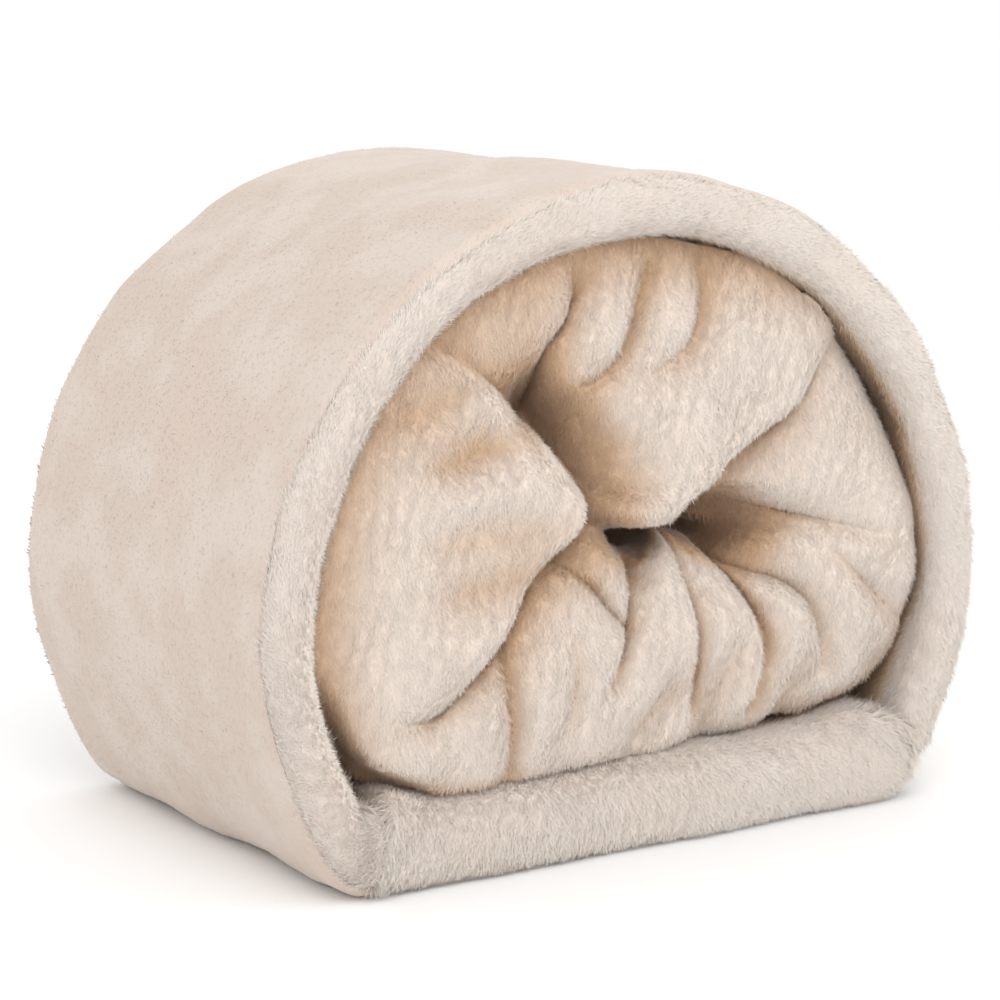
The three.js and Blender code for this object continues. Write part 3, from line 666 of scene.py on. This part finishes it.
def grown(base, zone, per_mm2):
    """Roots of strands, their normals and painted shade, where zone(places) and the pile weight let them
    grow.
    """
    mesh = base.data
    mesh.calc_loop_triangles()
    corners = read(mesh.loop_triangles, "vertices", 3).astype(int)
    places = read(mesh.vertices, "co", 3) / MM
    normals = read(mesh.vertices, "normal", 3)
    thick, shade = (read(mesh.attributes[key].data, "value", 1)[:, 0] for key in ("pile", "shade"))
    a, b, c = (places[corners[:, k]] for k in range(3))
    area = np.linalg.norm(np.cross(b - a, c - a), axis=1) / 2
    area = area * thick[corners].mean(1) * zone((a + b + c) / 3)
    total = np.cumsum(area)
    count = int(total[-1] * per_mm2)
    spots = (np.arange(count) + RANDOM.uniform(size=count)) / count * total[-1]
    chosen = np.minimum(np.searchsorted(total, spots), len(area) - 1)
    u, v = RANDOM.uniform(size=(2, count))
    u, v = np.where(u + v > 1, 1 - u, u), np.where(u + v > 1, 1 - v, v)
    share = np.stack([1 - u - v, u, v], -1)
    return ((places[corners[chosen]] * share[..., None]).sum(1),
            unit((normals[corners[chosen]] * share[..., None]).sum(1)),
            (shade[corners[chosen]] * share).sum(1))


def strands(name, roots, normals, ways, shade, length, width, lean):
    """One mesh of pointed strands, each a triangle that leans over and is lit like the cloth under it. One
    that would show its unlit underside in the photograph's view leans the other way."""
    count = len(roots)
    tilt = np.radians(RANDOM.normal(lean, LEAN_SPREAD, count))[:, None]
    reach = (length * RANDOM.uniform(*LENGTH_RANGE, count))[:, None]
    turn = RANDOM.normal(0, WAY_SPREAD, count)[:, None]
    beside = np.cross(normals, ways)
    ways = ways * np.cos(turn) + beside * np.sin(turn)
    view = unit(np.array(CAMERA_PLACE) / MM - roots)
    upper = normals * np.sin(tilt) - ways * np.cos(tilt)
    beneath = ((upper * view).sum(1) < STRAND_TURNED) & ((normals * view).sum(1) > CLOTH_TURNED)
    ways[beneath] *= -1
    reach[beneath] *= TURNED_LENGTH
    beside = np.cross(normals, ways)
    wide = beside * (width / 2 * RANDOM.uniform(*WIDTH_RANGE, count))[:, None]
    root = roots - normals * ROOT_DEEP
    tip = roots + (normals * np.cos(tilt) + ways * np.sin(tilt)) * reach
    corners = np.stack([root - wide, root + wide, tip], 1)
    corners[..., 2] = np.maximum(corners[..., 2], LEAST_HEIGHT)
    facing = unit(np.cross(corners[:, 1] - corners[:, 0], corners[:, 2] - corners[:, 0]))
    flip = (facing * normals).sum(1) < 0
    corners[flip, :2] = corners[flip, 1::-1]
    facing[flip] *= -1
    lit = np.repeat(unit(mix(normals, facing, OWN_SLOPE)), 3, 0)

    mesh = bpy.data.meshes.new(name)
    mesh.vertices.add(count * 3)
    mesh.vertices.foreach_set("co", (corners * MM).astype(np.float32).ravel())
    mesh.loops.add(count * 3)
    mesh.loops.foreach_set("vertex_index", np.arange(count * 3, dtype=np.int32))
    mesh.polygons.add(count)
    mesh.polygons.foreach_set("loop_start", np.arange(0, count * 3, 3, dtype=np.int32))
    pale = RANDOM.uniform(0, TONE_SPREAD, count)
    tone = np.stack([pale, pale, TONE_RISE + pale], -1)
    # The painted shade goes on with each strand as its shade attribute
    for key, values in (("tone", tone), ("shade", np.repeat(shade, 3))):
        attribute = mesh.attributes.new(key, "FLOAT", "POINT")
        attribute.data.foreach_set("value", values.astype(np.float32).ravel())
    cells = math.ceil(math.sqrt(count))
    cell = np.stack([np.arange(count) % cells, np.arange(count) // cells], -1)[:, None]
    spots = (cell + STRAND_IN_CELL) / cells
    mesh.uv_layers.new(name="OFBake").data.foreach_set("uv", spots.astype(np.float32).ravel())
    mesh.update()
    mesh.shade_smooth()
    mesh.normals_split_custom_set_from_vertices(lit.astype(np.float32))
    obj = bpy.data.objects.new(name, mesh)
    bpy.context.collection.objects.link(obj)
    return obj


# Materials


class Value:
    """A shader socket that takes part in Python's arithmetic."""

    def __init__(self, shader, socket):
        self.shader, self.socket = shader, socket

    def maths(self, operation, *values):
        return self.shader.node("ShaderNodeMath", {"operation": operation}, dict(enumerate(values)))

    def __add__(self, other):
        return self.maths("ADD", self, other)

    def __mul__(self, other):
        return self.maths("MULTIPLY", self, other)


class Shader:
    """A material and its nodes."""

    def __init__(self, name):
        self.material = bpy.data.materials.new(name)
        self.material.use_nodes = True
        self.tree = self.material.node_tree
        self.tree.nodes.clear()

    def node(self, kind, settings=None, values=None, output=0):
        node = self.tree.nodes.new(kind)
        for key, value in (settings or {}).items():
            setattr(node, key, value)
        for key, value in (values or {}).items():
            if isinstance(value, Value):
                self.tree.links.new(value.socket, node.inputs[key])
            else:
                node.inputs[key].default_value = value
        return Value(self, node.outputs[output]) if node.outputs else None

    def noise(self, scale, detail=2, stretch=None):
        place = self.node("ShaderNodeTexCoord", output="Object")
        if stretch:
            place = self.node("ShaderNodeMapping", values={"Vector": place, "Scale": stretch})
        return self.node("ShaderNodeTexNoise", values={"Vector": place, "Scale": scale, "Detail": detail})

    def between(self, value, low, high):
        """0 below low and 1 above high, softly between them."""
        return self.node("ShaderNodeMapRange", {"interpolation_type": "SMOOTHSTEP"},
                         {"Value": value, "From Min": low, "From Max": high})

    def mixed(self, factor, a, b, way="MIX"):
        return self.node("ShaderNodeMix", {"data_type": "RGBA", "blend_type": way},
                         {"Factor": factor, 6: a, 7: b}, output=2)


def plush(name, root, tip, patch, patch_size, patchiness):
    """Plush cloth: darker at the roots and lighter at the tips, partly its own tone and partly painted shade
    and painted highlight; brushed into patches; and painted warm tan to dark brown where a shade value marks
    painted shade in a fold, a throat or behind a rim."""
    shader = Shader(name)
    tone, shade = (shader.node("ShaderNodeAttribute", {"attribute_name": key}, output="Fac")
                   for key in ("tone", "shade"))
    speckle = shader.noise(SPECKLES)
    patches = shader.between(shader.noise(1 / patch_size, 3), 0.42, 0.62)
    # Darker roots and lighter tips: partly the fibre's own tone, partly painted shade and painted highlight
    colour = shader.mixed(shader.between(tone + speckle * 0.3, 0.1, 1.0), root, tip)
    colour = shader.mixed(patches * patchiness, colour, patch)
    # Painted shade: as the shade value rises, the colour is multiplied towards tan and then dark brown
    dimmed = shader.mixed(shader.between(shade, 0, 0.55), (1, 1, 1, 1), PAINTED_SHADE_TAN)
    dimmed = shader.mixed(shader.between(shade, 0.35, 1), dimmed, PAINTED_SHADE_DARK)
    colour = shader.mixed(1, colour, dimmed, "MULTIPLY")
    streaks = shader.noise(STREAKS, 3, STREAK_STRETCH)
    bump = shader.node("ShaderNodeBump", values={
        "Strength": 0.5, "Distance": 0.0008, "Height": streaks + speckle * 0.5})
    surface = shader.node("ShaderNodeBsdfPrincipled", values={
        "Base Color": colour,
        "Roughness": shader.between(speckle, 0.2, 0.8) * 0.12 + 0.82,
        "Normal": bump,
        "Sheen Weight": 0.35,
        "Sheen Roughness": 0.45,
        "Sheen Tint": (1, 0.95, 0.9, 1),
        "Specular IOR Level": 0.2,
    })
    shader.node("ShaderNodeOutputMaterial", values={"Surface": surface})
    return shader.material


def studio_floor(name, colour):
    shader = Shader(name)
    surface = shader.node("ShaderNodeBsdfPrincipled", values={"Base Color": colour, "Roughness": 0.9})
    shader.node("ShaderNodeOutputMaterial", values={"Surface": surface})
    return shader.material


# Each plush: the colour of its roots, its tips and its brushed patches, the patches' size in metres, and how
# much of their colour shows. The darker roots, which also colour the bare cloth under the strands, are partly
# painted shade, and the lighter tips partly a painted highlight
COVER = plush("cover_plush", (0.575, 0.475, 0.405, 1), (0.615, 0.517, 0.445, 1), (0.645, 0.568, 0.505, 1),
              0.03, 0.5)
RIM = plush("rim_plush", (0.70, 0.615, 0.545, 1), (0.765, 0.715, 0.66, 1), (0.735, 0.65, 0.57, 1),
            0.03, 0.4)
SLEEVE = plush("sleeve_plush", (0.685, 0.585, 0.505, 1), (0.765, 0.70, 0.64, 1), (0.75, 0.665, 0.595, 1),
               0.04, 0.3)


# Making the pieces

wall_inner, wall_outer = wall_stations()
along_wall = along(wall_outer) / along(wall_outer)[-1]
seam_angle, shade_start, shade_along = (
    np.interp(along_wall, *zip(*table)) for table in (COVER_SEAM, WALL_SHADE_START, WALL_SHADE_ALONG))
shoulder = (-DEPTH / 2 + RIM_ROLL, WALL - RIM_ROLL)
lower_roll = (-DEPTH / 2 + RIM_ROLL, RIM_ROLL)
stations = len(wall_inner)
inner_edge = np.broadcast_to([shoulder[0] + 1, LINING], (stations, 1, 2))
groove = RIM_ROLL - GROOVE_DEEP

cover_half = np.concatenate([
    inner_edge + SEAM_GAP,
    roll(shoulder, groove, seam_angle + COVER_EDGE, seam_angle + COVER_EDGE_END, 2),
    roll(shoulder, RIM_ROLL, seam_angle + COVER_FULL, np.full(stations, 90), 9),
], 1)
cover = bar("arch_cover_plush", wall_inner, wall_outer, over_wall(looped(cover_half, WALL_STEP)),
            shade_start, middle=FLATTENED_SHARE)

lining_half = np.concatenate([
    np.broadcast_to(roll(lower_roll, RIM_ROLL, -90, 0, 12), (stations, 12, 2)),
    roll(shoulder, RIM_ROLL, np.zeros(stations), seam_angle + LINING_DIPS, 8),
    roll(shoulder, groove - HAIR_GAP, seam_angle, seam_angle + LINING_UNDER, 2),
    inner_edge,
], 1)
lining = bar("arch_rim_plush", wall_inner, wall_outer, over_wall(looped(lining_half, WALL_STEP)),
             shade_start, shade_along, middle=FLATTENED_SHARE)


def floor_stations():
    """The floor pad from the left corner seam to the right one, its right end turned up outside."""
    turn_x = RIGHT_SEAM["outer"][0] - FLOOR_TURN
    turn_inner = RIGHT_SEAM["inner"][0] - FLOOR_INNER_TURN
    steps = round((turn_x - LEFT_SEAM["outer"][0]) / WALL_STEP)
    t = np.linspace(0, 1, steps)[:, None]
    outer = mix(np.array([LEFT_SEAM["outer"][0] + SEAM_GAP, 0.0]), np.array([turn_x, 0.0]), t)
    inner = mix(np.array([LEFT_SEAM["inner"][0] + SEAM_GAP, FLOOR_TOP]), np.array([turn_inner, FLOOR_TOP]), t)
    end = np.array(RIGHT_SEAM["outer"]) - SEAM_GAP
    knee = (RIGHT_SEAM["outer"][0] - TURN_KNEE, 0)
    turned = np.concatenate([curve((turn_x, 0), knee, end, TURN_STEPS), [end]])[1:]
    top = mix(np.array([turn_inner, FLOOR_TOP]), np.array([RIGHT_SEAM["inner"][0] - SEAM_GAP, FLOOR_TOP]),
              np.linspace(0, 1, TURN_STEPS + 1)[1:, None])
    inner = np.concatenate([inner, top])
    from_end = np.minimum(inner[:, 0] - inner[0, 0], inner[-1, 0] - inner[:, 0]) / CORNER_RISE_REACH
    inner[:, 1] += CORNER_RISE * ease(np.clip(1 - from_end, 0, 1))
    return inner, np.concatenate([outer, turned])


floor_inner, floor_outer = floor_stations()
floor_run = along(floor_outer)
from_corner = np.minimum(floor_run, floor_run[-1] - floor_run)
top_roll = mix(CORNER_TOP_ROLL, FLOOR_TOP_ROLL, ease(np.clip(from_corner / CORNER_REACH, 0, 1)))
floor_half = np.concatenate([
    roll((-DEPTH / 2 + top_roll, FLOOR_TOP - top_roll), top_roll, np.full_like(top_roll, 90), 0, 16),
    np.broadcast_to(roll((-DEPTH / 2 + FLOOR_BOTTOM_ROLL, FLOOR_BOTTOM_ROLL), FLOOR_BOTTOM_ROLL, 0, -90, 9),
                    (len(top_roll), 9, 2)),
], 1)
floor_section = looped(floor_half, WALL_STEP) * (1, -1 / FLOOR_TOP) + (0, 1)
floor = bar("floor_pad_plush", floor_inner, floor_outer, floor_section, FLOOR_SHADE_START)

directions = np.radians(np.concatenate([np.linspace(*span, endpoint=False) for span in SLEEVE_COLUMNS]))
front = laid_rows(front_rows(directions), directions, front_fold)
back = laid_rows(back_rows(directions), directions, back_fold)
places, pile, shade = (np.concatenate(halves) for halves in zip(front, back))
sleeve = skin("sleeve_plush", places, pile=pile, shade=shade)

# Each piece is uneven by lumps and dimples, so many millimetres high
lumps, dimples = Ripples(55), Ripples(14)
for obj, big, small in ((cover, 0.5, 0.1), (lining, 0.5, 0.1), (floor, 0.4, 0.12), (sleeve, 0.6, 0.12)):
    swell(obj, (lumps, big), (dimples, small))

whorl, tangle = Ripples(28), Ripples(6)


def along_rim(places):
    """Round the arch, a little outwards and forwards."""
    away = unit(places * (1, 0, 1) - (0, 0, SPRING_Z))
    around = away[:, ::-1] * (1, 0, -1)
    return around * 0.75 + away * 0.5 + (0, -0.25, -0.1)


def over_pad(places):
    """Away from the arch's middle, forwards and down."""
    away = unit(places * (1, 0, 1) - (0, 0, SPRING_Z))
    return away * 0.9 + (0, -0.3, -0.5)


def downwards(places):
    """Down, and a little forwards."""
    return np.broadcast_to([0.0, -0.35, -1.0], places.shape)


def front_zone(places):
    return places[:, 1] < -BULGE_Y


def back_zone(places):
    return places[:, 1] > BULGE_Y


def deep_zone(places):
    return np.abs(places[:, 1]) <= BULGE_Y


def everywhere(places):
    return np.ones(len(places))


def seam_fluff(places):
    """How much longer the pile grows by the corner seams, which it hides: 0 far off, 1 on a seam."""
    seams = [np.array([seam["inner"], seam["outer"]], float) for seam in (LEFT_SEAM, RIGHT_SEAM)]
    away = np.minimum(*(nearest_on_run(places[:, ::2], seam)[0] for seam in seams))
    return np.exp(-((away / SEAM_FLUFF_REACH) ** 2))


# Strands of pile: their name, cloth, material and zone, how many stand on a square millimetre, their length,
# width and lean from upright in degrees, and the way they lie
PILE = (
    ("sleeve_pile_front", sleeve, SLEEVE, front_zone, 2.95, 2.75, 0.41, 66, downwards),
    ("sleeve_pile_passage", sleeve, SLEEVE, deep_zone, 0.6, 3.2, 0.8, 66, downwards),
    ("sleeve_pile_back", sleeve, SLEEVE, back_zone, 0.75, 3.0, 0.85, 66, downwards),
    ("rim_pile_front", lining, RIM, front_zone, 2.8, 3.6, 0.41, 64, along_rim),
    ("rim_pile_back", lining, RIM, back_zone, 0.7, 2.8, 0.8, 72, along_rim),
    ("floor_pile_front", floor, RIM, front_zone, 2.9, 3.6, 0.41, 64, over_pad),
    ("floor_pile_back", floor, RIM, back_zone, 0.7, 2.8, 0.8, 72, over_pad),
    ("cover_pile", cover, COVER, everywhere, 0.5, 1.3, 0.5, 78, downwards),
)
share_grown = 1
piles = []
for name, cloth, material, zone, per_mm2, length, width, lean, flow in PILE:
    roots, normals, shades = grown(cloth, zone, per_mm2 * share_grown)
    uneven = SLEEVE_WHORL if cloth is sleeve else PADDED_WHORL
    ways = brushed(roots, normals, flow, (whorl, uneven), (tangle, TANGLE_SHARE * uneven))
    patch_length = length * (1 + PATCH_LENGTH * tangle.value(roots))
    if material is RIM:
        patch_length *= 1 + SEAM_FLUFF * seam_fluff(roots)
    for part, start in enumerate(range(0, len(roots), MOST_STRANDS)):
        some = slice(start, start + MOST_STRANDS)
        obj = strands(f"{name}_{part + 1}", roots[some], normals[some], ways[some], shades[some],
                      patch_length[some], width / math.sqrt(share_grown), lean)
        obj.data.materials.append(material)
        piles.append((cloth, obj))
    print(name, len(roots), "strands")

for obj, material in ((cover, COVER), (lining, RIM), (floor, RIM), (sleeve, SLEEVE)):
    obj.data.materials.append(material)
cloth_layer = sleeve.modifiers.new("cloth", "SOLIDIFY")
cloth_layer.thickness, cloth_layer.offset = SLEEVE_CLOTH * MM, -1

# Each piece and its strands hang from the root body, and the CAD part that it stands for is hidden
for obj, node, slot in ((cover, "arch_cover", "cover_plush"), (lining, "arch_lining", "rim_plush"),
                        (floor, "floor_pad", "rim_plush"), (sleeve, "sleeve", "sleeve_plush")):
    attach(obj, "root")
    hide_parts(node)
    for cloth, pile in piles:
        if cloth is obj:
            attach(pile, "root")

# Studio: a plain pale floor, soft light all round, and the photograph's camera
bm = bmesh.new()
bmesh.ops.create_grid(bm, x_segments=1, y_segments=1, size=60)
studio = piece("studio_floor", bm)
studio.data.materials.append(studio_floor("studio_floor", (FLOOR_WHITE, FLOOR_WHITE, FLOOR_WHITE, 1)))

world = bpy.data.worlds.new("studio_light")
world.use_nodes = True
world.node_tree.nodes["Background"].inputs["Color"].default_value = (1, 1, 1, 1)
world.node_tree.nodes["Background"].inputs["Strength"].default_value = WORLD_LIGHT
bpy.context.scene.world = world


def soft_light(name, place, size, power):
    lamp = bpy.data.lights.new(name, "AREA")
    lamp.shape, lamp.size, lamp.energy = "DISK", size, power
    obj = bpy.data.objects.new(name, lamp)
    obj.location = place
    obj.rotation_euler = (Vector((0, 0, 0.1)) - obj.location).to_track_quat("-Z", "Y").to_euler()
    bpy.context.collection.objects.link(obj)


soft_light("key_light", (-0.6, -1.1, 1.3), 1.0, 7)
soft_light("fill_light", (1.0, -1.0, 0.8), 0.9, 3)
soft_light("front_light", (-0.2, -1.3, 0.14), 0.8, 2.4)

camera = bpy.data.cameras.new("camera")
camera.lens, camera.sensor_width = CAMERA_LENS, CAMERA_SENSOR
camera_object = bpy.data.objects.new("camera", camera)
bpy.context.collection.objects.link(camera_object)
level = math.cos(CAMERA_RISE)
backwards = Vector((math.sin(CAMERA_TURN) * level, -math.cos(CAMERA_TURN) * level, math.sin(CAMERA_RISE)))
rightwards = Vector((math.cos(CAMERA_TURN), math.sin(CAMERA_TURN), 0))
turned = Matrix((rightwards, backwards.cross(rightwards), backwards)).transposed()
turned = turned @ Matrix.Rotation(CAMERA_ROLL, 3, "Z")
camera_object.matrix_world = Matrix.Translation(CAMERA_PLACE) @ turned.to_4x4()
bpy.context.scene.camera = camera_object
bpy.context.scene.view_settings.view_transform = "Standard"
